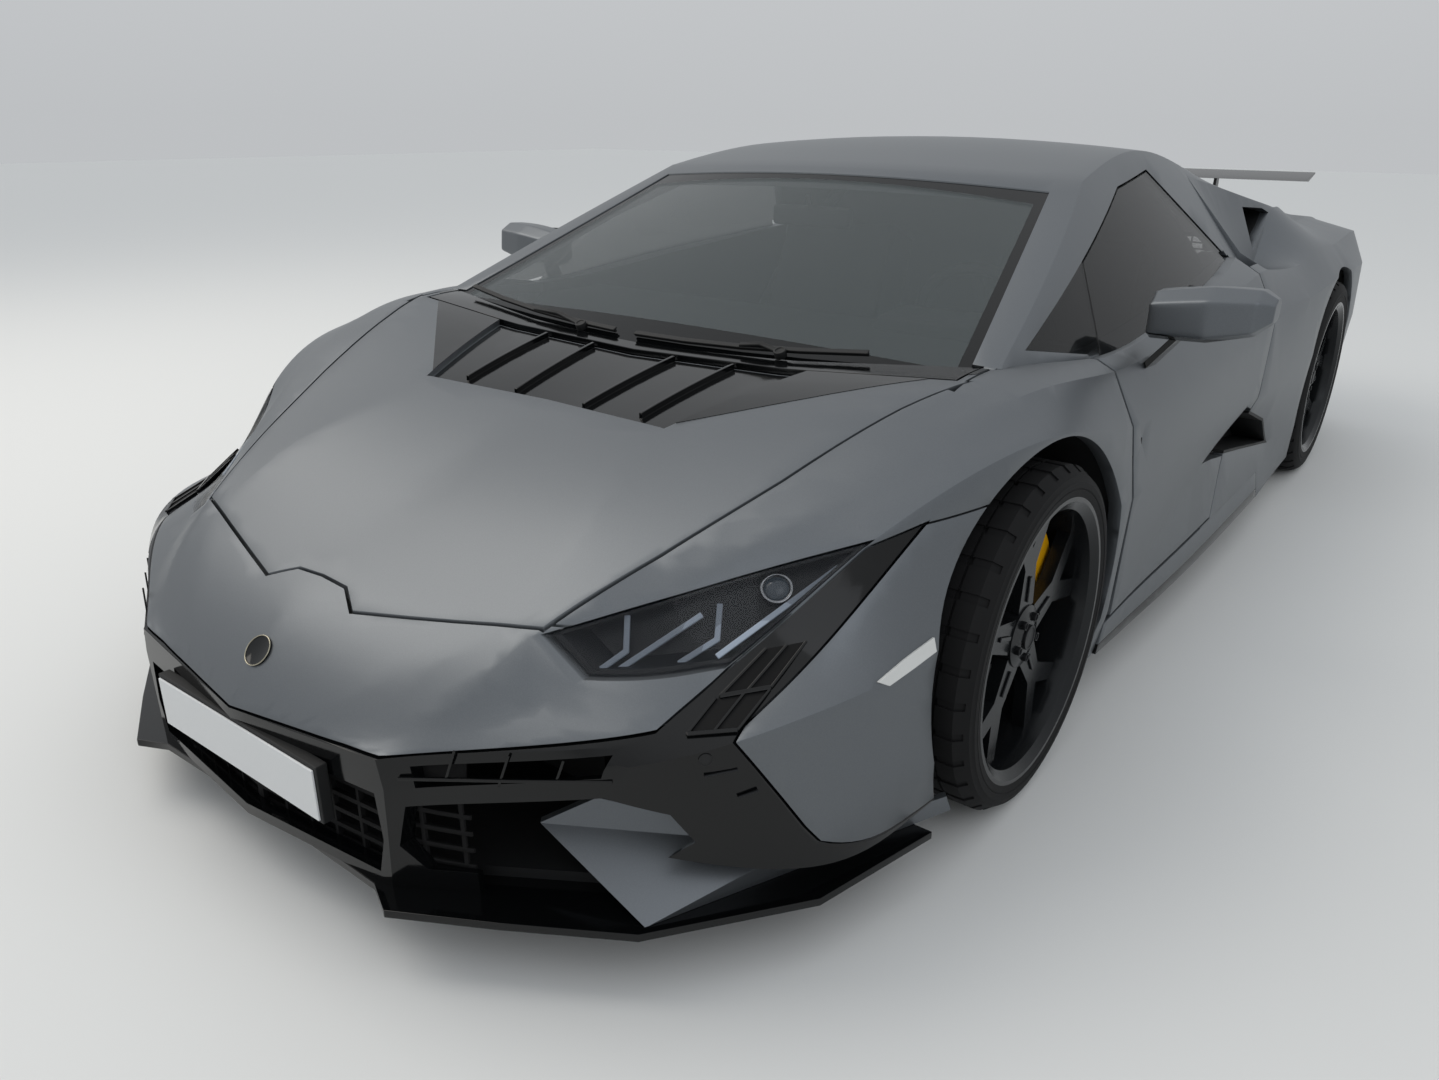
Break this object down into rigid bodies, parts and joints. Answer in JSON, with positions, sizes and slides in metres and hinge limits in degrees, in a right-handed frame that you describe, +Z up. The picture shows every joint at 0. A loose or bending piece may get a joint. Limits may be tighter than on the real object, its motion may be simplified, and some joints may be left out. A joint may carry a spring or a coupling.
{
  "type": "supercar",
  "caption": "Low mid-engined two-seat sports car with a wedge body, opening doors, hood and engine lid, and wheels that turn and steer.",
  "frame": {"origin": "on the ground below the middle of the overall box", "axes": "+X to the car's left, +Y to the rear along the car, +Z up; the nose faces -Y"},
  "size_m": [2.236, 4.566, 1.1653],
  "materials": {
    "paint": "satin metallic",
    "gloss_black": "gloss",
    "satin_black": "satin",
    "tinted_glass": "clear, tinted",
    "dark_glass": "dark tint",
    "smoked_glass": "smoked",
    "red_lens": "red lens",
    "rim_black": "gloss black",
    "disc_iron": "machined",
    "yellow": "gloss",
    "tyre": "rubber",
    "dark_steel": "dark coating",
    "cast_iron": "cast",
    "leather": "matte",
    "dash_plastic": "grained"
  },
  "bodies": {
    "chassis": {"windshield": "tinted_glass", "quarter_glass": "dark_glass", "cabin_frame": "paint", "front_bumper": "paint", "front_fascia": "gloss_black", "headlights": "smoked_glass", "fender_L": "paint", "fender_R": "paint", "cowl_panel": "satin_black", "rear_bumper": "paint", "quarter_L": "paint", "quarter_R": "paint", "side_skirts": "gloss_black", "arch_liners": "satin_black", "wishbones": "dark_steel", "floor_tub": "satin_black", "engine_block": "cast_iron", "splitter": "gloss_black", "diffuser": "satin_black", "rear_wing": "gloss_black", "tail_lamps": "red_lens", "exhaust_tips": "dark_steel", "seats": "leather", "dashboard": "dash_plastic", "front_grille": "satin_black", "lamp_bowls": "satin_black", "winglets": "paint", "rear_grille": "satin_black", "rear_knuckles": "dark_steel", "calipers_rear": "yellow"},
    "hood": {"hood_panel": "paint", "hood_louvre": "satin_black"},
    "engine_lid": {"engine_cover": "paint"},
    "door_left": {"door_L": "paint", "door_glass_L": "dark_glass", "mirror_L": "paint"},
    "door_right": {"door_R": "paint", "door_glass_R": "dark_glass", "mirror_R": "paint"},
    "upright_left": {"knuckle_L": "dark_steel", "caliper_FL": "yellow"},
    "upright_right": {"knuckle_R": "dark_steel", "caliper_FR": "yellow"},
    "wheel_front_left": {"tyre_FL": "tyre", "rim_FL": "rim_black", "disc_FL": "disc_iron"},
    "wheel_front_right": {"tyre_FR": "tyre", "rim_FR": "rim_black", "disc_FR": "disc_iron"},
    "wheel_rear_left": {"tyre_RL": "tyre", "rim_RL": "rim_black", "disc_RL": "disc_iron"},
    "wheel_rear_right": {"tyre_RR": "tyre", "rim_RR": "rim_black", "disc_RR": "disc_iron"},
    "steering": {"steering_wheel": "leather"}
  },
  "joints": [
    {"name": "hood_hinge", "type": "hinge", "parent": "chassis", "child": "hood", "pos_m": [0, -1.1435, 0.785], "axis": [-1, 0, 0], "range_deg": [0, 60]},
    {"name": "engine_lid_hinge", "type": "hinge", "parent": "chassis", "child": "engine_lid", "pos_m": [0, 0.5105, 1.094], "axis": [1, 0, 0], "range_deg": [0, 50]},
    {"name": "door_left_hinge", "type": "hinge", "parent": "chassis", "child": "door_left", "pos_m": [0.933, -0.7675, 0.48], "axis": [0, 0, -1], "range_deg": [0, 60]},
    {"name": "door_right_hinge", "type": "hinge", "parent": "chassis", "child": "door_right", "pos_m": [-0.933, -0.7675, 0.48], "axis": [0, 0, 1], "range_deg": [0, 60]},
    {"name": "steer_left", "type": "hinge", "parent": "chassis", "child": "upright_left", "pos_m": [0.755, -1.2415, 0.327], "axis": [0, 0, 1], "range_deg": [-32, 32]},
    {"name": "steer_right", "type": "hinge", "parent": "chassis", "child": "upright_right", "pos_m": [-0.755, -1.2415, 0.327], "axis": [0, 0, 1], "range_deg": [-32, 32]},
    {"name": "spin_front_left", "type": "hinge", "parent": "upright_left", "child": "wheel_front_left", "pos_m": [0.834, -1.2415, 0.327], "axis": [1, 0, 0], "continuous": true},
    {"name": "spin_front_right", "type": "hinge", "parent": "upright_right", "child": "wheel_front_right", "pos_m": [-0.834, -1.2415, 0.327], "axis": [1, 0, 0], "continuous": true},
    {"name": "spin_rear_left", "type": "hinge", "parent": "chassis", "child": "wheel_rear_left", "pos_m": [0.812, 1.3785, 0.345], "axis": [1, 0, 0], "continuous": true},
    {"name": "spin_rear_right", "type": "hinge", "parent": "chassis", "child": "wheel_rear_right", "pos_m": [-0.812, 1.3785, 0.345], "axis": [1, 0, 0], "continuous": true},
    {"name": "steering_turn", "type": "hinge", "parent": "chassis", "child": "steering", "pos_m": [0.4, -0.3815, 0.705], "axis": [0, 0.9135, 0.4067], "range_deg": [-416, 416]}
  ],
  "couplings": [
    {"joint": "steer_right", "follows": "steer_left", "ratio": 1},
    {"joint": "steering_turn", "follows": "steer_left", "ratio": 13}
  ]
}
